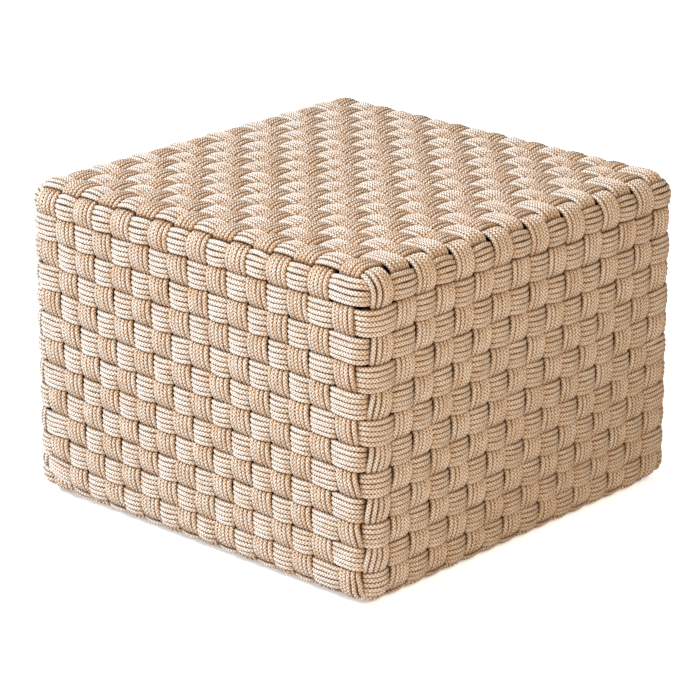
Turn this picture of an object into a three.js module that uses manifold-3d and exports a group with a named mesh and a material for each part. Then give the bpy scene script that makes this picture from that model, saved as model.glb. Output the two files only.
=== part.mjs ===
// Outdoor ottoman: a square footstool whose rope bands are woven over and under each other
// round a welded tube frame. Millimetres, +Z up, origin on the floor under the middle.
// X runs along the front, which faces -Y.

import * as THREE from 'three';
import { mergeVertices } from 'three/addons/utils/BufferGeometryUtils.js';
import Module from 'manifold-3d';

const wasm = await Module();
wasm.setup();

// Whole object
const width = 500;
const depth = 500;
const height = 356;
const ropeFloorGap = 1.5;

// Weave: each band is cords laid side by side, modelled as one crowned strip
const columns = 16;
const courses = 12;
const bandThickness = 3.1;
const edgeLiftShare = 1.1;
const bandFillShare = 0.93;
const frontColumnInset = 36;
const sideColumnInset = 33.5;
const firstCourseRise = 4;
const lastCourseRise = 5.5;
const courseGradeShare = 0.07;
const edgeCourseWidth = 17;
const edgeCourseAngle = 42;
const wrapAnglesFromOver = [92, 150];
const wrapAnglesFromUnder = [80, 140];
const cornerWrapAngle = 62;
const clearShare = 0.43;

// Frame
const tubeDiameter = 30;
const tubeWall = 2;
const weaveClearance = 0.5;
const jointGap = 0.3;
const stubLength = 19;
const spigotLength = 18;
const seatBarDiameter = 20;
const seatBarPlaces = [-72, 72];
const tubeSides = 12;

// Glides
const glideDiameter = 12;
const glideChamfer = 1.5;
const stemDiameter = 6;
const stemLength = 12;
const stemClearance = 0.3;
const socketSpare = 2;

// Sizes that follow from these
const quarterTurn = Math.PI / 2;
const tubeRadius = tubeDiameter / 2;
const edgeLift = bandThickness * edgeLiftShare;
const crown = edgeLift + bandThickness;
const shellRadius = tubeRadius + weaveClearance + crown;
const reachX = width / 2 - crown - shellRadius;
const reachY = depth / 2 - crown - shellRadius;
const axisTop = height - crown - shellRadius;
const axisBottom = ropeFloorGap + shellRadius;
const faceDrop = axisTop - axisBottom;
const shoulderRun = shellRadius * quarterTurn;
const frontPitch = (width - 2 * frontColumnInset) / (columns - 1);
const sidePitch = (depth - 2 * sideColumnInset) / (columns - 1);

const ottoman = new THREE.Group();

function addPart(name, geometry, material) {
  geometry.computeVertexNormals();
  const mesh = new THREE.Mesh(geometry, material);
  mesh.name = name;
  ottoman.add(mesh);
}

const rope = () => new THREE.MeshStandardMaterial({ color: 0xdcc3a3, roughness: 0.9, metalness: 0 });
const coatedTube = () => new THREE.MeshStandardMaterial({ color: 0x5c4e41, roughness: 0.5, metalness: 0.3 });
const plastic = () => new THREE.MeshStandardMaterial({ color: 0xcfccc4, roughness: 0.6, metalness: 0 });

const numbered = (name, number) => `${name}_${String(number).padStart(2, '0')}`;
const counted = (count) => Array.from({ length: count }, (_, index) => index + 1);

// The weave's middle surface is the frame's axis box grown by shellRadius, so its edges are round.
// A run is a distance over that surface from the middle of the top, out over an edge and down a face.
// It gives the place on the axis box below it, and the angle at which outwards tilts above level.
function profile(run, reach) {
  const side = Math.sign(run);
  const shoulder = Math.abs(run) - reach;
  const drop = shoulder - shoulderRun;
  const wrap = drop - faceDrop;
  if (shoulder <= 0) return { side, out: run, z: axisTop, tilt: quarterTurn };
  if (drop <= 0) return { side, out: side * reach, z: axisTop, tilt: quarterTurn - shoulder / shellRadius };
  if (wrap <= 0) return { side, out: side * reach, z: axisTop - drop, tilt: 0 };
  return { side, out: side * reach, z: axisBottom, tilt: -wrap / shellRadius };
}

// The run to a place under the bottom edge, at an angle below level.
function wrapRun(angle, reach) {
  return reach + shoulderRun + faceDrop + shellRadius * THREE.MathUtils.degToRad(angle);
}

// The run from the middle of the top to a course. Courses lie a little closer towards the floor,
// and after the last full one a narrower edge course lies under the bottom edge.
const edgeCourse = courses + 1;

function courseRun(course, reach) {
  if (course === edgeCourse) return wrapRun(edgeCourseAngle, reach);
  const first = reach + shoulderRun - firstCourseRise;
  const last = reach + shoulderRun + faceDrop - lastCourseRise;
  const step = (course - 1) / (courses - 1);
  return first + (last - first) * (step + courseGradeShare * step * (1 - step));
}

const columnPlace = (column, pitch) => (column - (columns + 1) / 2) * pitch;
const columnWidth = (pitch) => bandFillShare * pitch;

function courseWidth(course) {
  if (course === edgeCourse) return edgeCourseWidth;
  const gaps = [course - 1, course].filter((upper) => upper >= 1 && upper < courses);
  const pitches = gaps.map((upper) => courseRun(upper + 1, reachX) - courseRun(upper, reachX));
  return bandFillShare * Math.min(...pitches);
}

// A band's section at one place along it. Its depth is 0 where it passes over the band that it
// crosses, 1 where it passes under, and between these halfway. The edges swing out and in with it,
// and the middle bulges outwards over and inwards under. place(across, lift) gives a point.
function section(place, bandWidth, depthShare, bulges = depthShare < 1 ? 'out' : 'in') {
  const edge = edgeLift * (1 - 2 * depthShare);
  const ring = { near: place(-bandWidth / 2, edge), far: place(bandWidth / 2, edge) };
  if (bulges !== 'in') ring.outer = place(0, edge + bandThickness * (1 - depthShare));
  if (bulges !== 'out') ring.inner = place(0, edge - bandThickness * depthShare);
  return ring;
}

// A section where the band is pulled tight round a tube.
function wrapSection(place, bandWidth) {
  const near = place(-bandWidth / 2, -edgeLift);
  const far = place(bandWidth / 2, -edgeLift);
  return { near, far, outer: place(0, bandThickness - edgeLift) };
}

// Triangles between two rows of points, taking each step on the row that lags behind.
function stitch(triangles, here, next) {
  let i = 0;
  let j = 0;
  while (i < here.length - 1 || j < next.length - 1) {
    const hereLags = (i + 0.5) / (here.length - 1) <= (j + 0.5) / (next.length - 1);
    if (hereLags) triangles.push(here[i], next[j], here[i + 1]);
    else triangles.push(here[i], next[j], next[j + 1]);
    if (hereLags) i += 1;
    else j += 1;
  }
}

// A closed solid through the sections of a band, as a loop or with an end cap at each side.
function bandGeometry(rings, isLoop) {
  const row = (...points) => points.filter(Boolean);
  const triangles = [];
  rings.forEach((ring, index) => {
    if (!isLoop && index === rings.length - 1) return;
    const next = rings[(index + 1) % rings.length];
    stitch(triangles, row(ring.near, ring.outer, ring.far), row(next.near, next.outer, next.far));
    stitch(triangles, row(ring.far, ring.inner, ring.near), row(next.far, next.inner, next.near));
  });
  if (!isLoop) {
    const start = rings[0];
    const end = rings[rings.length - 1];
    triangles.push(start.near, start.outer, start.far);
    triangles.push(end.far, end.outer, end.near);
  }
  return mergeVertices(new THREE.BufferGeometry().setFromPoints(triangles));
}

// Where the last column of a pitch lies, and how far round the corner its outer edge leans.
const outermost = (pitch) => columnPlace(columns, pitch);
const edgeLean = (pitch, span) => (outermost(pitch) + columnWidth(pitch) / 2 - span) / shellRadius;

// A band round the four sides. Each side is walked alike, counterclockwise from above, and the
// band goes under its first, third and so on column there, or under its second, fourth and so on.
function courseBand(course) {
  const run = courseRun(course, reachX);
  const bandWidth = courseWidth(course);
  const bulges = course === 1 ? 'both' : undefined;
  const rings = [];
  counted(4).forEach((quarter) => {
    const sideHeading = (quarter - 2) * quarterTurn;
    const facesFront = quarter % 2 === 1;
    const [pitch, nextPitch] = facesFront ? [frontPitch, sidePitch] : [sidePitch, frontPitch];
    const [reach, span] = facesFront ? [reachY, reachX] : [reachX, reachY];
    const addSection = (walk, heading, depthShare) => {
      const x = reach * Math.cos(sideHeading) - walk * Math.sin(sideHeading);
      const y = reach * Math.sin(sideHeading) + walk * Math.cos(sideHeading);
      const place = (across, lift) => {
        const { z, tilt } = profile(run - across, reachX);
        const level = (shellRadius + lift) * Math.cos(tilt);
        const rise = (shellRadius + lift) * Math.sin(tilt);
        return new THREE.Vector3(x + level * Math.cos(heading), y + level * Math.sin(heading), z + rise);
      };
      rings.push(section(place, bandWidth, depthShare, bulges));
    };
    const depthAt = (step) => ((step + course) % 2 === 0 ? 1 : 0);
    counted(columns).forEach((step) => addSection(columnPlace(step, pitch), sideHeading, depthAt(step)));

    // Round the corner the band crosses from one side's last column to the next side's first.
    const cornerRun = span - outermost(pitch) + shoulderRun + reach - outermost(nextPitch);
    const turnedDepth = (share) => (depthAt(columns) === 0 ? share : 1 - share);
    const leaving = columnWidth(pitch) / 2 / cornerRun;
    const arriving = 1 - columnWidth(nextPitch) / 2 / cornerRun;
    addSection(span, sideHeading + edgeLean(pitch, span), turnedDepth(leaving));
    addSection(span, sideHeading + quarterTurn - edgeLean(nextPitch, reach), turnedDepth(arriving));
  });
  return bandGeometry(rings, true);
}

// A band that goes up one side, over the top and down the far side. The weave has reach along the
// band and breadth across it, and toWorld turns (along, across, z) into a point.
function topBand({ column, pitch, crossPitch, reach, breadth, toWorld }) {
  const middle = columnPlace(column, pitch);
  const bandWidth = columnWidth(pitch);
  const placeAt = (run) => (across, lift) => {
    const { side, out, z, tilt } = profile(run, reach);
    const radius = shellRadius + lift;
    const flat = THREE.MathUtils.clamp(middle + across, -breadth, breadth);
    const lean = (middle + across - flat) / shellRadius;
    const along = out + side * radius * Math.cos(tilt) * Math.cos(lean);
    const rise = radius * Math.sin(tilt) * Math.cos(lean);
    return toWorld(along, flat + radius * Math.sin(lean), z + rise);
  };
  const isOver = (count) => (column + count) % 2 === 0;
  const crossing = (run, over) => section(placeAt(run), bandWidth, over ? 0 : 1);
  const atCorner = column === 1 || column === columns;

  // From the last crossing on the top to the band's end under the bottom edge. Where the surface
  // bends beside a crossing, a section at the other band's edge keeps the two clear of each other.
  const descent = (side) => {
    const turn = side < 0 ? 1 : 0;
    const courseAt = (course) => courseRun(course, reach);
    const courseEdge = (course, way) => courseAt(course) + (way * courseWidth(course)) / 2;
    const partway = (run, share, startsOver) => (
      section(placeAt(side * run), bandWidth, startsOver ? share : 1 - share, 'out')
    );
    const between = (from, to, run, startsOver) => partway(run, (run - from) / (to - from), startsOver);
    const tight = (angle) => wrapSection(placeAt(side * wrapRun(angle, reach)), bandWidth);
    const lastTop = outermost(crossPitch);
    const lastTopEdge = lastTop + columnWidth(crossPitch) / 2;
    const startsOver = isOver(1 + turn);
    const rings = [
      between(lastTop, courseAt(1), lastTopEdge, !startsOver),
      between(lastTop, courseAt(1), courseEdge(1, -1), !startsOver),
      crossing(side * courseAt(1), startsOver),
      between(courseAt(1), courseAt(2), courseEdge(1, 1), startsOver),
    ];
    counted(courses).slice(1).forEach((course) => {
      rings.push(crossing(side * courseAt(course), isOver(course + turn)));
    });
    const endsOver = isOver(edgeCourse + turn);
    const wrapAngles = endsOver ? wrapAnglesFromOver : wrapAnglesFromUnder;
    const edge = courseAt(edgeCourse);
    rings.push(partway(courseEdge(courses, 1), clearShare, !endsOver));
    rings.push(partway(courseEdge(edgeCourse, -1), 1 - clearShare, !endsOver));
    rings.push(crossing(side * edge, endsOver));
    if (endsOver) rings.push(between(edge, wrapRun(wrapAngles[0], reach), courseEdge(edgeCourse, 1), true));
    if (!atCorner) rings.push(...wrapAngles.map(tight));
    if (atCorner && !endsOver) rings.push(tight(cornerWrapAngle));
    return rings;
  };

  const top = counted(columns).map((other) => crossing(columnPlace(other, crossPitch), isOver(other)));
  return bandGeometry([...descent(-1).reverse(), ...top, ...descent(1)], false);
}

function frontToBackBand(column) {
  return topBand({
    column: columns + 1 - column,
    pitch: frontPitch,
    crossPitch: sidePitch,
    reach: reachY,
    breadth: reachX,
    toWorld: (along, across, z) => new THREE.Vector3(-across, along, z),
  });
}

function sideToSideBand(column) {
  return topBand({
    column,
    pitch: sidePitch,
    crossPitch: frontPitch,
    reach: reachX,
    breadth: reachY,
    toWorld: (along, across, z) => new THREE.Vector3(along, across, z),
  });
}

// Solids for joining and cutting: merged vertices, and no triangle that a pole has squeezed flat.
function toSolid(geometry) {
  geometry.deleteAttribute('normal');
  geometry.deleteAttribute('uv');
  const merged = mergeVertices(geometry);
  const corners = merged.index.array;
  const kept = [];
  for (let i = 0; i < corners.length; i += 3) {
    const [a, b, c] = [corners[i], corners[i + 1], corners[i + 2]];
    if (a !== b && b !== c && c !== a) kept.push(a, b, c);
  }
  const vertProperties = merged.attributes.position.array;
  return new wasm.Manifold(new wasm.Mesh({ numProp: 3, vertProperties, triVerts: new Uint32Array(kept) }));
}

function toGeometry(solid) {
  const { vertProperties, triVerts } = solid.getMesh();
  const geometry = new THREE.BufferGeometry();
  geometry.setAttribute('position', new THREE.BufferAttribute(vertProperties, 3));
  geometry.setIndex(new THREE.BufferAttribute(triVerts, 1));
  return geometry;
}

const joined = (solids) => solids.reduce((whole, solid) => whole.add(solid));

// A round solid about a vertical axis, from its half outline of [radius, z] points, bottom to top.
function turned(outline, sides = tubeSides) {
  const points = outline.map(([radius, z]) => new THREE.Vector2(radius, z));
  return new THREE.LatheGeometry(points, sides).rotateX(quarterTurn);
}

function tubeAlongX(radius, length) {
  return new THREE.CylinderGeometry(radius, radius, length, tubeSides).rotateZ(quarterTurn);
}

function tubeAlongY(radius, length) {
  return new THREE.CylinderGeometry(radius, radius, length, tubeSides);
}

// A corner piece: a dome below, and above it the spigot that fits inside a post. As [radius, z].
const spigotRadius = tubeRadius - tubeWall - jointGap;
const domeSteps = tubeSides / 4;
const domeOutline = counted(domeSteps).map((step) => {
  const angle = quarterTurn * (1 - step / domeSteps);
  return [tubeRadius * Math.cos(angle), -tubeRadius * Math.sin(angle)];
});
const cornerOutline = [
  [0, -tubeRadius],
  ...domeOutline,
  [tubeRadius, stubLength],
  [spigotRadius, stubLength],
  [spigotRadius, stubLength + spigotLength],
  [0, stubLength + spigotLength],
];
const cornerPlaces = [[-1, -1], [1, -1], [1, 1], [-1, 1]].map(([x, y]) => [x * reachX, y * reachY]);

// Four tubes welded to four corner pieces, at height 0.
function frameRing(corner) {
  const corners = cornerPlaces.map(([x, y]) => toSolid(corner.clone()).translate([x, y, 0]));
  const rails = [-1, 1].flatMap((side) => [
    toSolid(tubeAlongX(tubeRadius, 2 * reachX).translate(0, side * reachY, 0)),
    toSolid(tubeAlongY(tubeRadius, 2 * reachY).translate(side * reachX, 0, 0)),
  ]);
  return joined([...corners, ...rails]);
}

function topRing() {
  return toGeometry(frameRing(turned(cornerOutline).rotateX(quarterTurn * 2)).translate([0, 0, axisTop]));
}

// The bottom ring's corners have a socket for each glide's stem.
function bottomRing() {
  const socketRadius = stemDiameter / 2 + stemClearance;
  const socketDepth = stemLength + socketSpare;
  const socket = turned([
    [0, -tubeRadius - jointGap],
    [socketRadius, -tubeRadius - jointGap],
    [socketRadius, socketDepth - tubeRadius],
    [0, socketDepth - tubeRadius],
  ]);
  const sockets = cornerPlaces.map(([x, y]) => toSolid(socket.clone()).translate([x, y, 0]));
  const ring = sockets.reduce((rest, cut) => rest.subtract(cut), frameRing(turned(cornerOutline)));
  return toGeometry(ring.translate([0, 0, axisBottom]));
}

function post() {
  const lower = axisBottom + stubLength + jointGap;
  const upper = axisTop - stubLength - jointGap;
  const bore = tubeRadius - tubeWall;
  return turned([[bore, lower], [tubeRadius, lower], [tubeRadius, upper], [bore, upper], [bore, lower]]);
}

// A bar from front rail to back rail, its ends shaped to the rails' round.
function seatBar(x) {
  const bar = toSolid(tubeAlongY(seatBarDiameter / 2, 2 * reachY));
  const cuts = [-1, 1].map((side) => (
    toSolid(tubeAlongX(tubeRadius + jointGap, 2 * seatBarDiameter).translate(0, side * reachY, 0))
  ));
  return toGeometry(cuts.reduce((rest, cut) => rest.subtract(cut), bar).translate([x, 0, axisTop]));
}

function glide() {
  const foot = glideDiameter / 2;
  const top = axisBottom - tubeRadius - jointGap;
  return turned([
    [0, 0],
    [foot - glideChamfer, 0],
    [foot, glideChamfer],
    [foot, top],
    [stemDiameter / 2, top],
    [stemDiameter / 2, top + stemLength],
    [0, top + stemLength],
  ]);
}

counted(edgeCourse).forEach((course) => addPart(numbered('course_band', course), courseBand(course), rope()));
counted(columns).forEach((column) => {
  addPart(numbered('front_to_back_band', column), frontToBackBand(column), rope());
});
counted(columns).forEach((column) => {
  addPart(numbered('side_to_side_band', column), sideToSideBand(column), rope());
});
addPart('top_ring', topRing(), coatedTube());
addPart('bottom_ring', bottomRing(), coatedTube());
cornerPlaces.forEach(([x, y], index) => {
  addPart(numbered('post', index + 1), post().translate(x, y, 0), coatedTube());
});
seatBarPlaces.forEach((x, index) => addPart(numbered('seat_bar', index + 1), seatBar(x), coatedTube()));
cornerPlaces.forEach(([x, y], index) => {
  addPart(numbered('glide', index + 1), glide().translate(x, y, 0), plastic());
});

export default ottoman;
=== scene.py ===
"""Looks of a woven outdoor ottoman footstool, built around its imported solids."""

import bpy
import numpy as np
from bpy.props import FloatProperty, FloatVectorProperty, IntProperty, PointerProperty
from mathutils import Matrix, Vector


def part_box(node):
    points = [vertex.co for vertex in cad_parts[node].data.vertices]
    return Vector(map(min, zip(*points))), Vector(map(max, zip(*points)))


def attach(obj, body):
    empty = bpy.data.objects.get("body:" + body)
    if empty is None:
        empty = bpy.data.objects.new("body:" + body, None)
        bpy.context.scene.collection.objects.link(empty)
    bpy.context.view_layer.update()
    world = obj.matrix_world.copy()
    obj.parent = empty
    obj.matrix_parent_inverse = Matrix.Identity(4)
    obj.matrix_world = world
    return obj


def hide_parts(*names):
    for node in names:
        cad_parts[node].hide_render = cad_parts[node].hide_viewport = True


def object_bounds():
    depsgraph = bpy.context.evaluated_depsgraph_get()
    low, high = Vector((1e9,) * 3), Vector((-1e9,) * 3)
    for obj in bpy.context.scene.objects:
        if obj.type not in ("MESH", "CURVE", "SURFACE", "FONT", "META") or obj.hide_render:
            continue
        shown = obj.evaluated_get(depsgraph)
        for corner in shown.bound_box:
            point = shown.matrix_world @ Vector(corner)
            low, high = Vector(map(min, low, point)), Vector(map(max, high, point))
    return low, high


bl_info = {
    "name": "Woven Ottoman Footstool",
    "version": (1, 0, 0),
    "blender": (4, 5, 0),
    "location": "View3D > Sidebar > Ottoman",
    "description": "Builds the weave, the finishes and the studio of a woven ottoman footstool",
    "category": "Object",
}

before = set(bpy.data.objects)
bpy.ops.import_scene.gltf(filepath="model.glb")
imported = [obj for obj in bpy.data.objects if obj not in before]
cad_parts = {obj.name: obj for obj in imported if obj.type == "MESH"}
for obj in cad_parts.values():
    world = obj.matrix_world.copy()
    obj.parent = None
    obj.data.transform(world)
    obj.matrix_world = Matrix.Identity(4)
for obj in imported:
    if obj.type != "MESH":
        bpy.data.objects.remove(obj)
solid_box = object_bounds()

COLUMNS = 16
COURSES = 12
SIDES_OF_BLOCK = 4

# Seeds of the random draws, to which each band adds its number
COURSE_SEED, SIDE_SEED, FRONT_SEED = 4107, 4207, 4247

# Distances from a frame tube's line where a dive begins to be free, and over which it grows
TUBE_CLEARANCE = 0.014
TUBE_FADE = 0.032

# Places and reaches of the weave's unevenness, measured along the sides of the block
RISE_REACH = 0.085
SAG_PLACE = 0.105
SAG_REACH = 0.11
PULL_REACH = 0.04
EDGE_PULL = 0.027
EDGE_DIP = 0.02
EDGE_DIP_REACH = 0.03

# Distance from the last crossing of an upright band to where it would go under the next
END_RUN = 0.027

# Longest wavelengths of a cord's side steps, a band's side steps, a cord's lift and its tone
CORD_WAVE = 0.09
BAND_WAVE = 0.13
LIFT_WAVE = 0.07
TONE_WAVE = 0.16

# Shares of the drift that each column loses to the one before, and that the corner columns keep
FRONT_LOSS_SHARE, SIDE_LOSS_SHARE = 0.04, 0.01
FRONT_CORNER_SHARE, SIDE_CORNER_SHARE = 0.9, 0.65

# Shares of the closeness in bands that lie round an edge or a corner
FIRST_COURSE_SHARE = 0.93
EDGE_COURSE_SHARE = 0.9
OUTERMOST_SHARE = 0.93

# Share of its width that the lowest full course loses where it is pulled up
SQUEEZE_SHARE = 0.22

# Strands of each family that lie side by side round a cord
STRANDS_ROUND = 4.0

# Studio: what the lights point at, and their places, sizes and colours
AIM = (0.0, 0.0, 0.18)
KEY_PLACE, KEY_SIZE, KEY_COLOUR = (-2.35, -1.95, 2.58), 1.1, (0.96, 1.0, 1.08)
FILL_PLACE, FILL_SIZE, FILL_COLOUR = (2.5, -1.7, 2.1), 0.5, (1.0, 0.67, 0.4)
SURROUND_COLOUR = (1.0, 0.86, 0.72)
WHITE = (1.0, 1.0, 1.0, 1.0)

# Floor: half its width, its colour, its glow and the distances over which the glow begins
FLOOR_REACH = 15.0
FLOOR_GREY, FLOOR_GLOW = 0.82, 0.8
GLOW_START, GLOW_FULL = 0.2, 0.245

# Camera: width of its sensor in millimetres, and the nearest and farthest that it sees
SENSOR_WIDTH = 36.0
CLIP_START, CLIP_END = 0.05, 60.0

solid_high = Vector(solid_box[1])
rail_low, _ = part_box("bottom_ring")
post_low, post_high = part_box("post_01")
front_low, front_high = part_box("front_to_back_band_08")
next_low, next_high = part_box("front_to_back_band_09")
side_low, side_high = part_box("side_to_side_band_08")
beside_low, beside_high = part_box("side_to_side_band_09")


def smooth_step(value):
    """The value held between 0 and 1, times itself, times three less twice the value."""
    share = np.clip(value, 0, 1)
    return share * share * (3 - 2 * share)


def bell(distance, reach):
    """One at no distance, falling by the exponential of less the distance over the reach
    squared."""
    return np.exp(-(distance / reach) ** 2)


def centre_of(low, high, axis):
    """Halfway between the two faces of a box along one axis."""
    return (low[axis] + high[axis]) / 2


class WeaveSizes(bpy.types.PropertyGroup):
    """Sizes of the rope weave."""

    outer_radius: FloatProperty(
        name="Outer edge radius", description="From the rail's line to the top of a rope crown",
        default=0.02852, min=0.02, max=0.05, unit="LENGTH")
    shell_radius: FloatProperty(
        name="Shell radius", description="Radius on which lengths round an edge are measured",
        default=0.02201, min=0.015, max=0.04, unit="LENGTH")
    cord_diameter: FloatProperty(
        name="Cord diameter", description="Thickness of one braided cord",
        default=0.0058, min=0.003, max=0.008, unit="LENGTH")
    cords: IntProperty(
        name="Cords in a band", description="Cords laid side by side in each band",
        default=5, min=1, max=9)
    edge_cords: IntProperty(
        name="Cords under the edge", description="Cords in the narrow course under the bottom edge",
        default=4, min=1, max=5)
    swing: FloatProperty(
        name="Swing", description="How far a band moves out over a crossing and in under the next",
        default=0.004, min=0.002, max=0.006, unit="LENGTH")
    dive: FloatProperty(
        name="Dive", description="How much further a band goes in where no frame tube lies behind",
        default=0.0040, min=0.0, max=0.005, unit="LENGTH")
    lean: FloatProperty(
        name="Lean", description="How far the ends of an upright tile lie sideways of its middle",
        default=0.0017, min=0.0, max=0.004, unit="LENGTH")
    dive_reach: FloatProperty(
        name="Dive reach", description="Length over which a band goes from over to under",
        default=0.0285, min=0.02, max=0.04, unit="LENGTH")
    crown: FloatProperty(
        name="Crown", description="How far the outer cords of a tile lie below its middle cord",
        default=0.0013, min=0.0, max=0.004, unit="LENGTH")
    drawn_in: FloatProperty(
        name="Drawn in", description="Share of its width that a band loses where it dives under",
        default=0.1, min=0.0, max=0.4, subtype="FACTOR")
    column_width: FloatProperty(
        name="Column width", description="Width of an upright band at the middle of a tile",
        default=0.0268, min=0.015, max=0.03, unit="LENGTH")
    first_course: FloatProperty(
        name="First course height", description="Middle of the highest course",
        default=0.3312, min=0.3, max=0.35, unit="LENGTH")
    last_course: FloatProperty(
        name="Last course height", description="Middle of the lowest full course",
        default=0.0262, min=0.02, max=0.06, unit="LENGTH")
    course_grade: FloatProperty(
        name="Course grade", description="How much closer the courses lie towards the bottom",
        default=0.07, min=0.0, max=0.2)
    edge_course: FloatProperty(
        name="Edge course height", description="Where the narrow course lies, measured round the edge",
        default=0.0040, min=-0.01, max=0.02, unit="LENGTH")
    corner_nudge: FloatProperty(
        name="Corner nudge", description="How far the last column lies nearer to the right front corner",
        default=0.0045, min=0.0, max=0.01, unit="LENGTH")
    front_shift: FloatProperty(
        name="Front shift", description="How far the front to back bands lie nearer to the left",
        default=0.0039, min=0.0, max=0.01, unit="LENGTH")
    front_pitch_share: FloatProperty(
        name="Front spread", description="Spacing of the front to back bands, as a share of the solids'",
        default=0.9874, min=0.9, max=1.05)
    side_shift: FloatProperty(
        name="Side shift", description="How far the side to side bands lie nearer to the back",
        default=0.001, min=-0.01, max=0.01, unit="LENGTH")
    side_pitch_share: FloatProperty(
        name="Side spread", description="Spacing of the side to side bands, as a share of the solids'",
        default=1.0094, min=0.9, max=1.05)
    front_drift: FloatProperty(
        name="Front drift", description="How far the front's first column wanders sideways going down",
        default=0.0115, min=-0.02, max=0.02, unit="LENGTH")
    right_drift: FloatProperty(
        name="Right drift", description="How far the right side's columns wander going down",
        default=-0.0105, min=-0.02, max=0.02, unit="LENGTH")
    course_rise: FloatProperty(
        name="Course rise", description="How far the courses rise at the left front corner",
        default=0.008, min=0.0, max=0.02, unit="LENGTH")
    course_sag: FloatProperty(
        name="Course sag", description="How far the courses sag on the right side",
        default=0.007, min=0.0, max=0.02, unit="LENGTH")
    corner_pull: FloatProperty(
        name="Corner pull", description="How far the lowest courses are pulled up at the left front corner",
        default=0.01, min=0.0, max=0.02, unit="LENGTH")
    tuck_angle: FloatProperty(
        name="Tuck angle", description="How far a band goes round the bottom rail",
        default=np.radians(165.0), min=0.0, max=np.radians(200.0), subtype="ANGLE")
    corner_tuck_angle: FloatProperty(
        name="Corner tuck angle", description="How far the outermost bands go round the bottom rail",
        default=np.radians(95.0), min=0.0, max=np.radians(120.0), subtype="ANGLE")
    step: FloatProperty(
        name="Step", description="Distance between two rings of points along a cord",
        default=0.0046, min=0.002, max=0.01, unit="LENGTH")
    round_sides: IntProperty(
        name="Sides of a cord", description="Points round each cord", default=8, min=5, max=16)
    # Painted shade: the front to back bands are mixed towards tan, standing in for the shade on their
    # slopes
    front_painted_shade: FloatProperty(
        name="Front to back tone", description="How much browner the front to back bands are",
        default=1.5, min=0.0, max=2.0)
    # Painted light: a negative share makes the side to side bands lighter, standing in for light on their
    # slopes
    side_painted_light_and_shade: FloatProperty(
        name="Side to side tone", description="How much browner the side to side bands are",
        default=-0.2, min=-2.0, max=2.0)
    # Width over which the painted shade between cords reaches round a tile's outer cords
    open_side: FloatProperty(
        name="Open side", description="Width of the lit flank of a tile's outer cords, in cord thicknesses",
        default=0.55, min=0.4, max=1.0)
    closeness: FloatProperty(
        name="Closeness", description="Largest step from cord to cord, as a share of their thickness",
        default=0.97, min=0.5, max=1.5, subtype="FACTOR")
    stitch: FloatProperty(
        name="Stitch", description="Length of one stitch of the braid",
        default=0.0034, min=0.001, max=0.005, unit="LENGTH")
    unevenness: FloatProperty(
        name="Unevenness", description="How far single cords wander from their lane",
        default=0.00035, min=0.0, max=0.001, unit="LENGTH")


class Finishes(bpy.types.PropertyGroup):
    """Colours of the rope, the frame and the glides."""

    cream: FloatVectorProperty(
        name="Cream yarn", description="Lightest yarn of the rope",
        default=(0.83, 0.79, 0.735), min=0.0, max=1.0, subtype="COLOR")
    tan: FloatVectorProperty(
        name="Tan yarn", description="Darkest yarn of the rope",
        default=(0.55, 0.385, 0.235), min=0.0, max=1.0, subtype="COLOR")
    # Painted shade: the colour that the rope is darkened towards in the braid's creases, between cords and
    # under crossings
    groove_shade: FloatVectorProperty(
        name="Groove", description="Colour deep between the stitches",
        default=(0.045, 0.019, 0.007), min=0.0, max=1.0, subtype="COLOR")
    coating: FloatVectorProperty(
        name="Powder coat", description="Coating of the frame tubes",
        default=(0.105, 0.075, 0.052), min=0.0, max=1.0, subtype="COLOR")
    nylon: FloatVectorProperty(
        name="Nylon", description="Plastic of the glides",
        default=(0.62, 0.60, 0.56), min=0.0, max=1.0, subtype="COLOR")


class StudioSettings(bpy.types.PropertyGroup):
    """Camera and lights."""

    lens: FloatProperty(
        name="Lens", description="Focal length", default=157.3, min=20.0, max=300.0, unit="CAMERA")
    key_power: FloatProperty(
        name="Key light", description="Power of the large soft light from the left",
        default=255.0, min=0.0, max=900.0, unit="POWER")
    fill_power: FloatProperty(
        name="Fill light", description="Power of the soft light from the right",
        default=97.0, min=0.0, max=900.0, unit="POWER")
    sky: FloatProperty(
        name="Surround", description="Brightness of the even light from all round",
        default=0.2, min=0.0, max=2.0)
    distance: FloatProperty(
        name="Camera distance", description="From the camera to the point that it looks at",
        default=3.1771, min=1.0, max=10.0, unit="LENGTH")
    azimuth: FloatProperty(
        name="Azimuth", description="Turn of the camera from the front towards the right",
        default=0.7467, min=-3.2, max=3.2, subtype="ANGLE")
    elevation: FloatProperty(
        name="Elevation", description="Height of the camera as an angle",
        default=0.3404, min=-1.5, max=1.5, subtype="ANGLE")
    roll: FloatProperty(
        name="Roll", description="Turn of the picture", default=-0.0014, min=-0.1, max=0.1, subtype="ANGLE")
    target: FloatVectorProperty(
        name="Target", description="Point that the camera looks at",
        default=(0.0914, -0.1041, 0.2043), unit="LENGTH")


def settings():
    """The three groups of values that the operators read."""
    scene = bpy.context.scene
    return scene.ottoman_weave, scene.ottoman_finishes, scene.ottoman_studio


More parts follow.
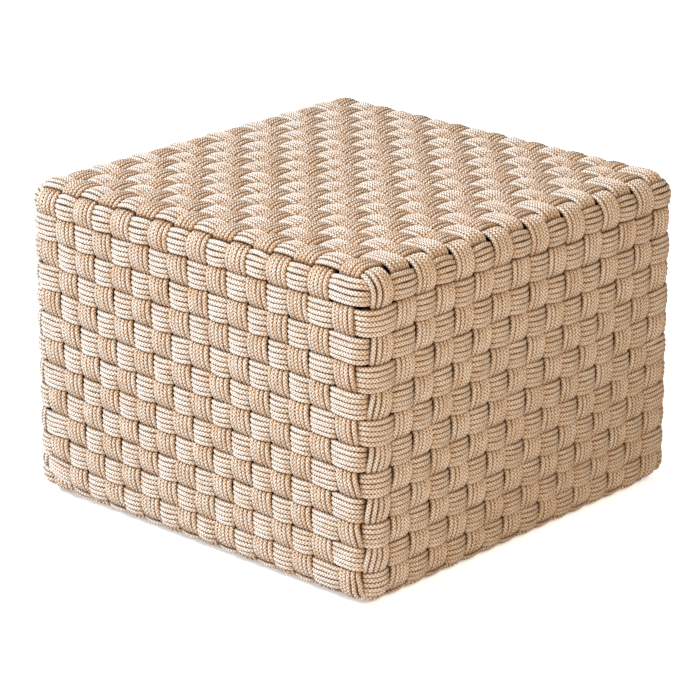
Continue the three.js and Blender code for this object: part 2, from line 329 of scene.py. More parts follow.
class Block:
    """The rounded block that the weave follows: the rails' lines, grown by a radius."""

    def __init__(self, sizes):
        self.radius = sizes.shell_radius
        self.reach = solid_high.x - sizes.outer_radius
        self.top = solid_high.z - sizes.outer_radius
        self.bottom = rail_low.z + (post_high.x - post_low.x) / 2
        self.quarter = self.radius * np.pi / 2
        self.wall = self.top - self.bottom
        self.leg = 2 * self.reach + self.quarter
        self.lane = sizes.outer_radius - sizes.swing - sizes.cord_diameter / 2
        self.lane_below = self.bottom - front_low.z - sizes.cord_diameter / 2
        front_pitch = centre_of(next_low, next_high, 0) - centre_of(front_low, front_high, 0)
        side_pitch = centre_of(beside_low, beside_high, 1) - centre_of(side_low, side_high, 1)
        number = np.arange(COLUMNS)
        from_middle = number - (COLUMNS - 1) / 2
        nudge = sizes.corner_nudge * (number == COLUMNS - 1)
        self.front_places = sizes.front_pitch_share * front_pitch * from_middle
        self.front_places = self.front_places - sizes.front_shift + nudge
        self.side_places = sizes.side_pitch_share * side_pitch * from_middle + sizes.side_shift
        self.side_places[0] -= nudge[-1]
        down = np.arange(COURSES) / (COURSES - 1)
        fall = down + sizes.course_grade * down * (1 - down)
        heights = sizes.first_course - (sizes.first_course - sizes.last_course) * fall
        self.course_heights = np.append(heights, sizes.edge_course)
        self.rise, self.sag, self.pull = sizes.course_rise, sizes.course_sag, sizes.corner_pull
        front_shares = np.where(
            number == COLUMNS - 1, FRONT_CORNER_SHARE, 1 - FRONT_LOSS_SHARE * number)
        right_shares = np.where(number == 0, SIDE_CORNER_SHARE, 1 - SIDE_LOSS_SHARE * number)
        self.front_drifts = sizes.front_drift * front_shares
        self.right_drifts = sizes.right_drift * right_shares

    def depth(self, height):
        """Share of the wall's height below its top, from 0 at the top to a little over 1."""
        deepest = 1.08
        return np.clip((self.top - height) / self.wall, 0, deepest)

    def spare_depth(self, distance):
        """Share of the dive that is free at a distance from a frame tube's line: none beside the
        tube, then a smooth step to all of it."""
        return smooth_step((distance - TUBE_CLEARANCE) / TUBE_FADE)

    def drift(self, side, column, height):
        """Sideways wander of a column on one side of the block: its own amount, less of it on the
        back and the left side towards the corner that they share, times the depth. On the left
        side it goes by the root of the depth, so the band beside the front keeps near the
        corner."""
        own = self.front_drifts if side in (0, 2) else self.right_drifts
        across = column / (COLUMNS - 1)
        least = 0.2
        share = (1.0, 1.0, least + 0.7 * across, least + 2 * (1 - across) ** 2)[side]
        return share * own[column] * self.depth(height) ** (0.5 if side == 3 else 1.0)

    def from_place(self, along, place):
        """Shortest way round the block from a place to a point that lies along it."""
        total = SIDES_OF_BLOCK * self.leg
        return (along - place + total / 2) % total - total / 2

    def near_left_corner(self, along, reach):
        """A bell-shaped share that is 1 at the left front corner and fades out over the reach."""
        return bell(self.from_place(along, -self.leg / 2), reach)

    def waver(self, along):
        """Rise and sag of a course: a bell-shaped rise round the left front corner and a
        bell-shaped sag on the right side, both repeated once round the block."""
        from_sag = self.from_place(along, self.leg + SAG_PLACE)
        rise = self.rise * self.near_left_corner(along, RISE_REACH)
        return rise - self.sag * bell(from_sag, SAG_REACH)

    def course_height(self, course, along):
        """Height of a course at a place round the block: its own height plus the waver, which
        fades out towards the first and the last course by a power of a sine. The lowest two
        courses are pulled up at the left front corner, and the edge course dips out of sight at
        the others."""
        before_first, before_last, roundness = 0.15, 0.6, 0.6
        way_down = np.clip((course + before_first) / (COURSES - before_last), 0, 1)
        fade = np.sin(np.pi * way_down) ** roundness
        height = self.course_heights[course] + fade * self.waver(along)
        if course == COURSES:
            from_corner = (along + self.leg) % self.leg - self.leg / 2
            height = height - EDGE_DIP * bell(from_corner, EDGE_DIP_REACH)
        pulled_up = {COURSES - 1: self.pull, COURSES: self.pull + EDGE_PULL}.get(course, 0.0)
        return height + pulled_up * self.near_left_corner(along, PULL_REACH)

    def moved_out(self, axis_line, outward, lift):
        """Points at the lane plus the lift from the rail's line. Where the outward direction
        turns down, a smooth step takes them close to the bottom rail's tube, which keeps the
        rope clear of the floor."""
        begin, lift_share = 0.45, 0.12
        share = smooth_step((-outward[..., 2] - begin) / (1 - begin))
        below = self.lane_below + lift_share * lift
        distance = (1 - share) * (self.lane + lift) + share * below
        return axis_line + distance[..., None] * outward

    def over_the_top(self, run, sideways, lift, front_to_back):
        """Points and outward directions of lines that go over the block. run is the length from
        the middle of the top, flat to the edge, round a quarter circle, down the wall and
        round the bottom rail; sideways bends round the block's corners in the same way, and lift
        is added along the outward direction."""
        past = np.abs(run)
        way = np.where(run < 0, -1.0, 1.0)
        across = np.minimum(past, self.reach)
        fall = np.clip(past - self.reach - self.quarter, 0, self.wall)
        turn = np.clip(past - self.reach, 0, self.quarter)
        turn = (turn + np.maximum(past - self.reach - self.quarter - self.wall, 0)) / self.radius
        kept = np.clip(sideways, -self.reach, self.reach)
        lean = (sideways - kept) / self.radius
        forward, upward = way * np.sin(turn) * np.cos(lean), np.cos(turn) * np.cos(lean)
        if front_to_back:
            axis_line = [kept, way * across, self.top - fall]
            outward = [np.sin(lean), forward, upward]
        else:
            axis_line = [way * across, kept, self.top - fall]
            outward = [forward, np.sin(lean), upward]
        axis_line = np.stack(np.broadcast_arrays(*axis_line), -1)
        outward = np.stack(np.broadcast_arrays(*outward), -1)
        return self.moved_out(axis_line, outward, lift), outward

    def round_the_sides(self, along, height, lift):
        """Points and outward directions of lines that go round the four sides, counterclockwise
        from the middle of the front. Heights above the top rail and below the bottom rail lean
        round the edge."""
        place = (along + self.reach) % (SIDES_OF_BLOCK * self.leg)
        side = np.floor(place / self.leg)
        on_side = place - side * self.leg
        forward = np.minimum(on_side, 2 * self.reach) - self.reach
        turn = np.maximum(on_side - 2 * self.reach, 0) / self.radius
        heading = side * np.pi / 2
        kept = np.clip(height, self.bottom, self.top)
        lean = (height - kept) / self.radius
        x = forward * np.cos(heading) + self.reach * np.sin(heading)
        y = forward * np.sin(heading) - self.reach * np.cos(heading)
        axis_line = np.stack(np.broadcast_arrays(x, y, kept), -1)
        outward_x = np.sin(heading + turn) * np.cos(lean)
        outward_y = -np.cos(heading + turn) * np.cos(lean)
        outward = np.stack(np.broadcast_arrays(outward_x, outward_y, np.sin(lean)), -1)
        return self.moved_out(axis_line, outward, lift), outward


def arch(phase):
    """Height of a band along its way, from 1 over a crossing to -1 under one: half of it is the
    cosine of the phase and half the hyperbolic tangent of a multiple of that cosine, scaled to
    the same range, which makes round tiles with steep ends."""
    steepness = 1.9
    wave = np.cos(phase)
    return 0.5 * np.tanh(steepness * wave) / np.tanh(steepness) + 0.5 * wave


def held_over(knots, turns, reach):
    """Knots and turns with one more pair in each gap that is longer than the reach of a dive: a
    band that comes over a crossing stays out until it is one reach away from the crossing that it
    goes under, which keeps the tiles round the corners full."""
    long_gap = 1.12 * reach
    more_knots, more_turns = [], []
    for here, there, turn, next_turn in zip(knots[:-1], knots[1:], turns[:-1], turns[1:]):
        if there - here > long_gap:
            over = np.cos(turn) > 0
            more_knots.append(there - reach if over else here + reach)
            more_turns.append(turn if over else next_turn)
    order = np.argsort(np.append(knots, more_knots), kind="stable")
    return np.append(knots, more_knots)[order], np.append(turns, more_turns)[order]


def wander(chance, run, rows, longest):
    """Smooth random lines, one in each row: three sines of the run with random phases and
    wavelengths, in the range of about -1 to 1."""
    repeats, weights = np.array([1.0, 1.9, 3.4]), np.array([0.5, 0.35, 0.25])
    waves = longest / repeats
    waves = waves * chance.uniform(0.85, 1.15, (rows, 3))
    start = chance.uniform(0, 2 * np.pi, (rows, 3))
    sines = np.sin(2 * np.pi * run[None, :, None] / waves[:, None, :] + start[:, None, :])
    return (sines * weights).sum(-1)


def unit(vectors):
    """The same directions with length one."""
    return vectors / np.linalg.norm(vectors, axis=-1, keepdims=True)


def cord_bundle(name, centres, outward, radii, tones, sinks, halves, closed, sizes, chance):
    """A mesh of cords that lie side by side. Each cord is a tube: a circle of points in the
    plane of the outward and the sideways direction, carried along its centre line. The map
    counts stitches along the cord and turns round it. Each point keeps its tone, its sink (0 on
    top of a crossing and 1 under one) and its groove: its distance sideways from the middle of
    its cord, as a share of half the step to the cord beside it, which grows again on the half
    that faces inwards."""
    cords, steps, _ = centres.shape
    sides = sizes.round_sides
    if closed:
        ahead = np.roll(centres, -1, axis=1) - np.roll(centres, 1, axis=1)
        following = np.roll(centres, -1, axis=1)
    else:
        ahead = np.gradient(centres, axis=1)
        following = np.concatenate([centres[:, 1:], centres[:, -1:]], axis=1)
    tangent = unit(ahead)
    outward = unit(outward - (outward * tangent).sum(-1, keepdims=True) * tangent)
    beside = np.cross(tangent, outward)
    turn = np.linspace(0, 2 * np.pi, sides, endpoint=False)[:, None]
    circle = np.cos(turn) * outward[:, :, None] + np.sin(turn) * beside[:, :, None]
    points = centres[:, :, None] + radii[:, :, None, None] * circle

    spans = steps if closed else steps - 1
    index = np.arange(cords * steps * sides).reshape(cords, steps, sides)
    here = index[:, :spans]
    there = np.roll(index, -1, axis=1)[:, :spans]
    quads = np.stack([here, np.roll(here, -1, 2), np.roll(there, -1, 2), there], -1)
    faces = quads.reshape(-1, 4).tolist()

    length = np.linalg.norm(following - centres, axis=-1)[:, :spans]
    stitches = np.cumsum(length, axis=1) / sizes.stitch
    if closed:
        stitches = stitches * (np.round(stitches[:, -1:]) / stitches[:, -1:])
    edges = np.concatenate([np.zeros((cords, 1)), stitches], axis=1)
    low = np.broadcast_to(edges[:, :-1, None], quads.shape[:3])
    high = np.broadcast_to(edges[:, 1:, None], quads.shape[:3])
    start = chance.uniform(0, 1, (cords, 1, 1))
    this_side = start + np.broadcast_to(np.arange(sides) / sides, quads.shape[:3])
    next_side = this_side + 1 / sides
    along = np.stack([low, low, high, high], -1)
    around = np.stack([this_side, next_side, next_side, this_side], -1)
    places = np.stack([along, around], -1).reshape(-1, 2)
    if not closed:
        ends = np.concatenate([index[:, 0, ::-1], index[:, -1]])
        faces += ends.tolist()
        cap = np.stack(np.broadcast_arrays(0.0, turn.ravel()), -1)
        places = np.concatenate([places, np.tile(cap, (2 * cords, 1))])

    mesh = bpy.data.meshes.new(name)
    mesh.from_pydata(points.reshape(-1, 3).tolist(), [], faces)
    layer = mesh.uv_layers.new(name="braid")
    layer.data.foreach_set("uv", places.astype(np.float32).ravel())
    sine, cosine = np.sin(turn[:, 0]), np.cos(turn[:, 0])
    half = np.where(sine > 0, halves[1][..., None], halves[0][..., None])
    inner_groove = 1.5 * np.maximum(-cosine, 0)
    # How far into the groove beside its neighbour each point lies; the rope finish paints shade from it
    groove_shade = radii[:, :, None] * np.abs(sine) / half + inner_groove
    shades = {
        "tone": np.repeat(tones.ravel(), sides), "sink": np.repeat(sinks.ravel(), sides),
        "groove_shade": groove_shade.ravel()}
    for kind, values in shades.items():
        attribute = mesh.attributes.new(kind, "FLOAT", "POINT")
        attribute.data.foreach_set("value", values.astype(np.float32))
    mesh.shade_smooth()
    mesh.update()
    piece = bpy.data.objects.new(name, mesh)
    bpy.context.scene.collection.objects.link(piece)
    return piece


def lanes(sizes, count, width, tightness, phase, run, free, chance):
    """Side steps, lifts, tones and sinks of the cords of one band, and half the step to the cord
    on each side. The lanes are spread evenly over the width, but never further apart than the
    tightness times the cords' thickness, drawn in where the band dives, and bent down towards
    the edges of a tile by the square of the lane. The dive adds depth under a crossing, in the
    shares given by free."""
    lane = (np.arange(count) - (count - 1) / 2)[:, None]
    spacing = np.minimum(
        (width - sizes.cord_diameter) / max(count - 1, 1), tightness * sizes.cord_diameter)
    height = arch(phase)[None]
    gather = 1 - sizes.drawn_in * (0.5 - 0.5 * height)
    loose = sizes.unevenness * wander(chance, run, count, CORD_WAVE)
    sideways = lane * spacing * gather + loose
    sideways = sideways + 2 * sizes.unevenness * wander(chance, run, 1, BAND_WAVE)
    edge = (lane / max((count - 1) / 2, 1)) ** 2
    dip = sizes.crown * edge * (0.5 + 0.5 * height)
    rough = 0.6 * sizes.unevenness * (wander(chance, run, count, LIFT_WAVE) - 1)
    under = (0.5 - 0.5 * height) ** 2
    lift = sizes.swing * height - sizes.dive * free * under - dip + rough
    tone = chance.uniform(0.1, 0.9, (count, 1)) + 0.3 * wander(chance, run, count, TONE_WAVE)
    sink = np.broadcast_to(0.5 - 0.5 * height, lift.shape)
    half = np.broadcast_to(0.5 * spacing * gather, lift.shape)
    # Half steps to the cords beside, over which the painted shade between cords is measured; an outer
    # cord's open flank takes the open side's width
    loose_side = np.full((1, run.size), sizes.open_side * sizes.cord_diameter)
    before = np.concatenate([loose_side, half[1:]])
    after = np.concatenate([half[1:], loose_side])
    return sideways, lift, tone, sink, (before, after)


def finish_band(piece, node, material):
    """Puts the rope finish on a band and lets it stand for its solid."""
    piece.data.materials.append(material)
    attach(piece, "root")
    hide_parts(node)


def course(block, sizes, number, material):
    """One band round the four sides. Its phase grows by half a turn from each upright band to
    the next, so it passes over one and under the next."""
    chance = np.random.default_rng(COURSE_SEED + number)
    column = np.arange(COLUMNS)
    height = block.course_heights[number]
    reverse = column[::-1]
    knots = np.concatenate([
        block.front_places + block.drift(0, column, height),
        block.leg + block.side_places + block.drift(1, column, height),
        2 * block.leg - (block.front_places + block.drift(2, column, height))[reverse],
        3 * block.leg - (block.side_places + block.drift(3, column, height))[reverse],
    ])
    total = SIDES_OF_BLOCK * block.leg
    steps = int(round(total / sizes.step))
    run = np.arange(steps) * total / steps + knots[0]
    turns = np.pi * (np.arange(len(knots) + 1) + (number + 1) % 2)
    phase = np.interp(run, *held_over(np.append(knots, knots[0] + total), turns, sizes.dive_reach))
    edge = number == COURSES
    count = sizes.edge_cords if edge else sizes.cords
    gaps = -np.diff(block.course_heights[:COURSES])
    gap = np.interp(number, np.arange(len(gaps)) + 0.5, gaps)
    width = gap * count / sizes.cords if edge else gap
    if number == COURSES - 1:
        width = width * (1 - SQUEEZE_SHARE * block.near_left_corner(run, PULL_REACH))
    on_side = (run + block.reach) % block.leg
    from_post = np.minimum(on_side, block.leg - block.quarter - on_side)
    from_rail = min(block.top - height, height - block.bottom)
    free = block.spare_depth(from_post) * block.spare_depth(from_rail)
    edge_shares = {0: FIRST_COURSE_SHARE, COURSES: EDGE_COURSE_SHARE}
    tightness = sizes.closeness * edge_shares.get(number, 1.0)
    sideways, lift, tones, sinks, halves = lanes(
        sizes, count, width, tightness, phase, run, free, chance)
    middle = block.course_height(number, run)
    centres, outward = block.round_the_sides(run, middle - sideways, lift)
    radii = np.full(centres.shape[:2], sizes.cord_diameter / 2)
    # Known fault, kept: swapped halves put the outer cords' painted shade at the open edge, not beside the
    # next cord
    piece = cord_bundle(
        "rope_course_%02d" % (number + 1), centres, outward, radii, tones, sinks, halves[::-1],
        True, sizes, chance)
    finish_band(piece, "course_band_%02d" % (number + 1), material)


def crossing_band(block, sizes, column, material, front_to_back):
    """One band up a side, over the top and down the other side. It passes over and under the
    courses on the walls and the bands of the other family on the top, and its ends go round
    the bottom rail and stay against it. Each cord ends in a blunt dome: its radius shrinks by the
    root of one less the square of the way into the dome."""
    chance = np.random.default_rng((FRONT_SEED if front_to_back else SIDE_SEED) + column)
    own = block.front_places if front_to_back else block.side_places
    others = block.side_places if front_to_back else block.front_places
    near_side, far_side = (0, 2) if front_to_back else (3, 1)
    place = own[column]
    heights = block.course_heights
    near_place = place + block.drift(near_side, column, heights)
    far_place = place + block.drift(far_side, column, heights)
    if front_to_back:
        near_along, far_along = near_place, 2 * block.leg - far_place
    else:
        near_along, far_along = 3 * block.leg - near_place, block.leg + far_place
    courses = range(len(heights))
    near_heights = np.array([block.course_height(n, near_along[n]) for n in courses])
    far_heights = np.array([block.course_height(n, far_along[n]) for n in courses])
    edge_run = block.reach + block.quarter + block.top
    near_knots = -(edge_run - near_heights)[::-1]
    far_knots = edge_run - far_heights
    knots = np.concatenate([near_knots, others, far_knots])
    turns = np.pi * np.arange(len(knots))
    first_over = (column + COURSES) % 2 == (0 if front_to_back else 1)
    turns = turns + (0 if first_over else np.pi)
    last_over = np.cos(turns[-1]) > 0
    if first_over:
        knots = np.append(knots[0] - END_RUN, knots)
        turns = np.append(turns[0] - np.pi, turns)
    if last_over:
        knots = np.append(knots, knots[-1] + END_RUN)
        turns = np.append(turns, turns[-1] + np.pi)

    outermost = column in (0, COLUMNS - 1)
    tightness = sizes.closeness * (OUTERMOST_SHARE if outermost else 1.0)
    tuck = sizes.corner_tuck_angle if outermost else sizes.tuck_angle
    wall_start = block.reach + block.quarter
    wall_end = wall_start + block.wall
    end = wall_end + block.radius * tuck
    radius = sizes.cord_diameter / 2
    inner = np.linspace(radius - end, end - radius, int(round(2 * end / sizes.step)))
    tip_rings, bluntness = radius * np.array([0.0, 0.12, 0.45]), 0.96
    run = np.concatenate([tip_rings - end, inner, end - tip_rings[::-1]])
    phase = np.interp(run, *held_over(knots, turns, sizes.dive_reach))
    past = np.abs(run)
    from_wall_rail = np.minimum(past - wall_start, wall_end - past)
    from_rail = np.maximum(block.reach - past, from_wall_rail)
    free = block.spare_depth(from_rail) * block.spare_depth(block.reach - abs(place))
    sideways, lift, tones, sinks, halves = lanes(
        sizes, sizes.cords, sizes.column_width, tightness, phase, run, free, chance)
    height = block.top - (past - wall_start)
    near = block.drift(near_side, column, height)
    far = block.drift(far_side, column, height)
    leaning = sizes.lean * np.sin(phase) * block.depth(height) ** 0.25
    middle = place + np.where(run < 0, near, far) - leaning
    centres, outward = block.over_the_top(run, middle + sideways, lift, front_to_back)
    to_end = np.minimum(run + end, end - run)
    bulge = 1 - np.clip(1 - to_end / radius, 0, bluntness) ** 2
    radii = np.broadcast_to(radius * np.sqrt(bulge), centres.shape[:2])
    # Each family adds its share of painted shade, or of painted light where it is negative, to its cords'
    # random tone
    if front_to_back:
        kind, tone = "front_to_back", sizes.front_painted_shade
    else:
        # The lanes of a side to side band count the other way round its tubes
        kind, tone, halves = "side_to_side", sizes.side_painted_light_and_shade, halves[::-1]
    piece = cord_bundle(
        "rope_%s_%02d" % (kind, column + 1), centres, outward, radii, tones + tone, sinks, halves,
        False, sizes, chance)
    finish_band(piece, "%s_band_%02d" % (kind, column + 1), material)


class Nodes:
    """Short way to write the nodes of a material or of the surround."""

    def __init__(self, owner):
        self.owner = owner
        self.owner.use_nodes = True
        self.tree = owner.node_tree
        self.tree.nodes.clear()

    def add(self, kind, inputs=(), **facts):
        """A node with its settings and its inputs, each a value or another node's output."""
        node = self.tree.nodes.new("ShaderNode" + kind)
        for key, value in facts.items():
            setattr(node, key, value)
        for key, value in dict(inputs).items():
            if isinstance(value, bpy.types.NodeSocket):
                self.tree.links.new(value, node.inputs[key])
            else:
                node.inputs[key].default_value = value
        return node

    def maths(self, operation, first, second=0.0):
        """The output of one Math node."""
        return self.add("Math", {0: first, 1: second}, operation=operation).outputs[0]

    def blend(self, share, first, second):
        """A colour between two colours."""
        return self.add("Mix", {0: share, 6: first, 7: second}, data_type="RGBA").outputs[2]

    def scaled(self, value, low, high, new_low, new_high):
        """A value moved from one range to another and held inside it."""
        values = {0: value, 1: low, 2: high, 3: new_low, 4: new_high}
        return self.add("MapRange", values).outputs[0]

    def place(self):
        """Object coordinates."""
        return self.add("TexCoord").outputs["Object"]

    def noise(self, scale, detail):
        """Noise on the object coordinates."""
        values = {"Vector": self.place(), "Scale": scale, "Detail": detail}
        return self.add("TexNoise", values).outputs[0]

    def bump(self, height, strength, distance):
        """A normal that follows a height."""
        values = {"Height": height, "Strength": strength, "Distance": distance}
        return self.add("Bump", values).outputs[0]

    def seen_directly(self):
        """One for rays from the camera and for glossy and transmission rays, and none for the
        rays that light the object."""
        rays = self.add("LightPath").outputs
        seen = self.maths("MAXIMUM", rays["Is Camera Ray"], rays["Is Glossy Ray"])
        return self.maths("MAXIMUM", seen, rays["Is Transmission Ray"])

    def finish(self, shader, output="OutputMaterial"):
        """Joins a shader to the output, and gives back what the nodes belong to."""
        self.add(output, {0: shader.outputs[0]})
        return self.owner

    def surface(self, **inputs):
        """The principled shader, joined to the output."""
        named = {key.replace("_", " "): value for key, value in inputs.items()}
        return self.finish(self.add("BsdfPrincipled", named))


def opaque(colour):
    """A colour with full alpha."""
    return (*colour, 1.0)


def rope_material(finishes):
    """Braided outdoor rope. Two families of strands wind round the cord in opposite ways; the
    sum and the difference of stitches and turns count them, and from cell to cell one or the
    other lies on top. Yarns are heathered cream and tan. Shade is painted into the colour:
    browner on cord flanks and towards ends that dive under a crossing, and dark in the braid's
    creases, between cords and under crossings."""
    found = bpy.data.materials.get("braided_rope")
    if found:
        return found
    nodes = Nodes(bpy.data.materials.new("braided_rope"))
    split = nodes.add("SeparateXYZ", {0: nodes.add("UVMap", uv_map="braid").outputs[0]}).outputs
    around = nodes.maths("MULTIPLY", split[1], STRANDS_ROUND)
    hands = nodes.maths("ADD", split[0], around), nodes.maths("SUBTRACT", split[0], around)
    waves = [nodes.maths("SINE", nodes.maths("MULTIPLY", hand, np.pi)) for hand in hands]
    ridges = [nodes.maths("ABSOLUTE", wave) for wave in waves]
    cells = [nodes.maths("FLOOR", hand) for hand in hands]
    on_top = nodes.maths("FLOORED_MODULO", nodes.maths("ADD", *cells), 2.0)
    step_over = nodes.maths("MULTIPLY", nodes.maths("SUBTRACT", ridges[1], ridges[0]), on_top)
    ridge = nodes.maths("MULTIPLY", nodes.maths("ADD", ridges[0], step_over), 0.55)
    both = nodes.maths("MULTIPLY", nodes.maths("MULTIPLY", *ridges), 0.45)
    height = nodes.maths("ADD", ridge, both)

    cell = nodes.add("CombineXYZ", {0: cells[0], 1: cells[1]}).outputs[0]
    stitch = nodes.add("TexWhiteNoise", {"Vector": cell}, noise_dimensions="2D").outputs[0]
    fleck, patch = nodes.noise(620.0, 2.0), nodes.noise(55.0, 2.0)
    tone, sink, groove_shade = (
        nodes.add("Attribute", attribute_name=kind).outputs["Fac"]
        for kind in ("tone", "sink", "groove_shade"))
    # What makes yarn browner, the range in which it is read and the shares that it adds: the stitches,
    # patches and flecks are the yarn's own random tone, and the other two are painted shade on cord flanks
    # and towards the ends that dive under a crossing
    browner_by_tone_and_shade = (
        (stitch, 0.45, 1.0, -0.05, 0.3),
        (patch, 0.35, 0.65, -0.1, 0.14),
        (groove_shade, 0.5, 1.0, 0.0, 0.35),
        (sink, 0.05, 0.5, 0.0, 0.5),
        (fleck, 0.55, 0.72, 0.0, 0.2),
    )
    share = nodes.maths("MULTIPLY", tone, 0.17)
    for cause in browner_by_tone_and_shade:
        share = nodes.maths("ADD", share, nodes.scaled(*cause))
    share = nodes.maths("MINIMUM", nodes.maths("MAXIMUM", share, 0.0), 1.0)
    yarn_with_shade = nodes.blend(share, opaque(finishes.cream), opaque(finishes.tan))

    # Painted shade: the braid's creases between stitches are darkened towards the dark groove colour
    crease_shade = nodes.scaled(height, 0.06, 0.5, 0.95, 0.0)
    # Painted shade in the grooves between neighbouring cords, dotted by the braid
    notch = nodes.maths("ADD", groove_shade, nodes.scaled(height, 0.1, 0.8, 0.26, -0.12))
    shade_between_cords = nodes.scaled(notch, 0.67, 0.95, 0.0, 0.76)
    # Painted shadow where a band goes under a crossing band
    shade_under_crossing = nodes.scaled(sink, 0.33, 0.56, 0.0, 1.0)
    shadow = nodes.maths("MAXIMUM", shade_between_cords, shade_under_crossing)
    # All painted shade together: creases, grooves between cords and the undersides of crossings
    painted_shade = nodes.maths("MAXIMUM", crease_shade, shadow)
    fuzz = nodes.maths("ADD", height, nodes.maths("MULTIPLY", fleck, 0.35))
    return nodes.surface(
        Base_Color=nodes.blend(painted_shade, yarn_with_shade, opaque(finishes.groove_shade)),
        Roughness=nodes.scaled(fleck, 0.3, 0.7, 0.78, 0.95), Specular_IOR_Level=0.25,
        Sheen_Weight=0.05, Normal=nodes.bump(fuzz, 1.0, 0.0011))


def coating_material(finishes):
    """Powder coat: a fine orange-peel bump and slightly uneven gloss."""
    nodes = Nodes(bpy.data.materials.new("powder_coat"))
    peel, cloud = nodes.noise(900.0, 2.0), nodes.noise(14.0, 3.0)
    cloudy = nodes.scaled(cloud, 0.35, 0.65, 0.0, 1.0)
    darker = [0.72 * channel for channel in finishes.coating]
    return nodes.surface(
        Base_Color=nodes.blend(cloudy, opaque(finishes.coating), opaque(darker)),
        Roughness=nodes.scaled(peel, 0.3, 0.7, 0.42, 0.6), Normal=nodes.bump(peel, 0.3, 0.0002))


def nylon_material(finishes):
    """Moulded nylon: a matt, finely pitted surface that is darker in patches towards the floor."""
    nodes = Nodes(bpy.data.materials.new("moulded_nylon"))
    height = nodes.add("SeparateXYZ", {0: nodes.place()}).outputs[2]
    pits, blotches = nodes.noise(1400.0, 2.0), nodes.noise(260.0, 3.0)
    # Darker in patches within a few millimetres of the floor
    low = nodes.scaled(height, 0.0, 0.003, 1.0, 0.0)
    darker_low = nodes.maths("MULTIPLY", low, nodes.scaled(blotches, 0.4, 0.6, 0.0, 1.0))
    darker_nylon = [0.6 * channel for channel in finishes.nylon]
    return nodes.surface(
        Base_Color=nodes.blend(darker_low, opaque(finishes.nylon), opaque(darker_nylon)),
        Roughness=nodes.scaled(blotches, 0.3, 0.7, 0.5, 0.7), Normal=nodes.bump(pits, 0.25, 0.0002))


def coat_nodes(names, material):
    """Puts a finish on the slots of solids that stay visible."""
    for name in names:
        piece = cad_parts.get(name)
        if piece is None:
            raise RuntimeError("there is no solid named " + name)
        piece.data.materials.clear()
        piece.data.materials.append(material)


class OTTOMAN_OT_courses(bpy.types.Operator):
    """Weave the courses that go round the four sides"""

    bl_idname = "ottoman.courses"
    bl_label = "Courses"

    def execute(self, context):
        sizes, finishes, _ = settings()
        block = Block(sizes)
        for number in range(COURSES + 1):
            course(block, sizes, number, rope_material(finishes))
        return {"FINISHED"}


class OTTOMAN_OT_front_to_back(bpy.types.Operator):
    """Weave the bands that go up the front, over the top and down the back"""

    bl_idname = "ottoman.front_to_back"
    bl_label = "Front to back bands"

    def execute(self, context):
        sizes, finishes, _ = settings()
        block = Block(sizes)
        for column in range(COLUMNS):
            crossing_band(block, sizes, column, rope_material(finishes), True)
        return {"FINISHED"}


class OTTOMAN_OT_side_to_side(bpy.types.Operator):
    """Weave the bands that go up the left side, over the top and down the right side"""

    bl_idname = "ottoman.side_to_side"
    bl_label = "Side to side bands"

    def execute(self, context):
        sizes, finishes, _ = settings()
        block = Block(sizes)
        for column in range(COLUMNS):
            crossing_band(block, sizes, column, rope_material(finishes), False)
        return {"FINISHED"}


class OTTOMAN_OT_frame_finish(bpy.types.Operator):
    """Powder coat the rings, the posts and the seat bars"""

    bl_idname = "ottoman.frame_finish"
    bl_label = "Frame finish"

    def execute(self, context):
        _, finishes, _ = settings()
        posts = ["post_%02d" % number for number in range(1, 5)]
        bars = ["seat_bar_%02d" % number for number in range(1, 3)]
        coat_nodes(["top_ring", "bottom_ring", *posts, *bars], coating_material(finishes))
        return {"FINISHED"}


class OTTOMAN_OT_glide_finish(bpy.types.Operator):
    """Give the glides their nylon finish"""

    bl_idname = "ottoman.glide_finish"
    bl_label = "Glide finish"

    def execute(self, context):
        _, finishes, _ = settings()
        glides = ["glide_%02d" % number for number in range(1, 5)]
        coat_nodes(glides, nylon_material(finishes))
        return {"FINISHED"}


def floor_material():
    """White floor that keeps a soft shadow. To the camera it glows a little, so that it reads as
    white wherever no shadow falls, but not under the block."""
    nodes = Nodes(bpy.data.materials.new("studio_floor"))
    split = nodes.add("SeparateXYZ", {0: nodes.place()}).outputs
    out_x, out_y = (nodes.maths("ABSOLUTE", split[axis]) for axis in (0, 1))
    out = nodes.maths("MAXIMUM", out_x, out_y)
    outside = nodes.scaled(out, GLOW_START, GLOW_FULL, 0.0, FLOOR_GLOW)
    strength = nodes.maths("MULTIPLY", nodes.seen_directly(), outside)
    matt = nodes.add("BsdfDiffuse", {"Color": opaque([FLOOR_GREY] * 3)}).outputs[0]
    glow = nodes.add("Emission", {"Color": WHITE, "Strength": strength}).outputs[0]
    return nodes.finish(nodes.add("AddShader", {0: matt, 1: glow}))


def add_floor():
    """A square floor at the height on which the glides stand."""
    reach = FLOOR_REACH
    corners = [(-reach, -reach, 0), (reach, -reach, 0), (reach, reach, 0), (-reach, reach, 0)]
    mesh = bpy.data.meshes.new("studio_floor")
    mesh.from_pydata(corners, [], [(0, 1, 2, 3)])
    mesh.materials.append(floor_material())
    floor = bpy.data.objects.new("studio_floor", mesh)
    bpy.context.scene.collection.objects.link(floor)


def add_light(name, place, size, power, colour):
    """A square soft light that points at the block."""
    light = bpy.data.lights.new(name, "AREA")
    light.size = size
    light.energy = power
    light.color = colour
    lamp = bpy.data.objects.new(name, light)
    lamp.location = place
    lamp.rotation_euler = (Vector(AIM) - Vector(place)).to_track_quat("-Z", "Y").to_euler()
    bpy.context.scene.collection.objects.link(lamp)


def add_surround(sky):
    """An even light from all round that the camera sees as plain white."""
    nodes = Nodes(bpy.data.worlds.new("studio_surround"))
    seen = nodes.seen_directly()
    strength = nodes.scaled(seen, 0.0, 1.0, sky, 1.0)
    colour = nodes.blend(seen, opaque(SURROUND_COLOUR), WHITE)
    background = nodes.add("Background", {0: colour, 1: strength})
    bpy.context.scene.world = nodes.finish(background, "OutputWorld")


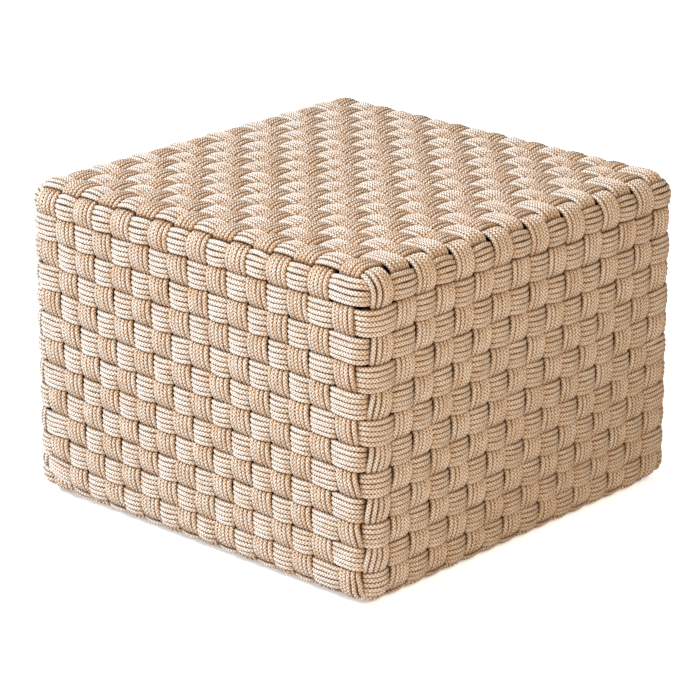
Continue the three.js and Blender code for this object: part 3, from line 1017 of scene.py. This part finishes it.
def add_camera(studio):
    """A camera at a distance from its target, turned by the azimuth, the elevation and the
    roll."""
    lens = bpy.data.cameras.new("camera")
    lens.lens = studio.lens
    lens.sensor_width = SENSOR_WIDTH
    lens.clip_start, lens.clip_end = CLIP_START, CLIP_END
    east, north = np.sin(studio.azimuth), -np.cos(studio.azimuth)
    level = np.cos(studio.elevation)
    back = Vector((east * level, north * level, np.sin(studio.elevation)))
    right = Vector((-north, east, 0.0))
    up = back.cross(right)
    turned_right = np.cos(studio.roll) * right + np.sin(studio.roll) * up
    turned_up = np.cos(studio.roll) * up - np.sin(studio.roll) * right
    turn = Matrix((turned_right, turned_up, back)).transposed().to_4x4()
    camera = bpy.data.objects.new("camera", lens)
    camera.matrix_world = Matrix.Translation(Vector(studio.target) + studio.distance * back) @ turn
    bpy.context.scene.collection.objects.link(camera)
    bpy.context.scene.camera = camera


class OTTOMAN_OT_studio(bpy.types.Operator):
    """Set up the floor, the lights, the surround and the camera"""

    bl_idname = "ottoman.studio"
    bl_label = "Studio"

    def execute(self, context):
        _, _, studio = settings()
        add_floor()
        add_light("key_light", KEY_PLACE, KEY_SIZE, studio.key_power, KEY_COLOUR)
        add_light("fill_light", FILL_PLACE, FILL_SIZE, studio.fill_power, FILL_COLOUR)
        add_surround(studio.sky)
        add_camera(studio)
        context.scene.view_settings.view_transform = "Standard"
        return {"FINISHED"}


class OTTOMAN_PT_sidebar(bpy.types.Panel):
    """Lists the pieces of the ottoman and their sizes and colours"""

    bl_idname = "OTTOMAN_PT_sidebar"
    bl_label = "Woven Ottoman"
    bl_space_type = "VIEW_3D"
    bl_region_type = "UI"
    bl_category = "Ottoman"

    def draw(self, context):
        column = self.layout.column()
        for operator in OPERATORS:
            column.operator(operator.bl_idname)
        for group in settings():
            box = self.layout.box()
            for name in group.__annotations__:
                box.prop(group, name)


GROUPS = (WeaveSizes, Finishes, StudioSettings)
OPERATORS = (
    OTTOMAN_OT_courses, OTTOMAN_OT_front_to_back, OTTOMAN_OT_side_to_side,
    OTTOMAN_OT_frame_finish, OTTOMAN_OT_glide_finish, OTTOMAN_OT_studio)


def register():
    """Makes the groups of values, the operators and the panel known to Blender."""
    for item in (*GROUPS, *OPERATORS, OTTOMAN_PT_sidebar):
        bpy.utils.register_class(item)
    bpy.types.Scene.ottoman_weave = PointerProperty(type=WeaveSizes)
    bpy.types.Scene.ottoman_finishes = PointerProperty(type=Finishes)
    bpy.types.Scene.ottoman_studio = PointerProperty(type=StudioSettings)


def unregister():
    """Takes back what register adds."""
    del bpy.types.Scene.ottoman_weave
    del bpy.types.Scene.ottoman_finishes
    del bpy.types.Scene.ottoman_studio
    for item in (OTTOMAN_PT_sidebar, *reversed(OPERATORS), *reversed(GROUPS)):
        bpy.utils.unregister_class(item)


def main():
    """Builds every piece and the stage."""
    register()
    bpy.ops.ottoman.courses()
    bpy.ops.ottoman.front_to_back()
    bpy.ops.ottoman.side_to_side()
    bpy.ops.ottoman.frame_finish()
    bpy.ops.ottoman.glide_finish()
    bpy.ops.ottoman.studio()


if __name__ == "__main__":
    main()
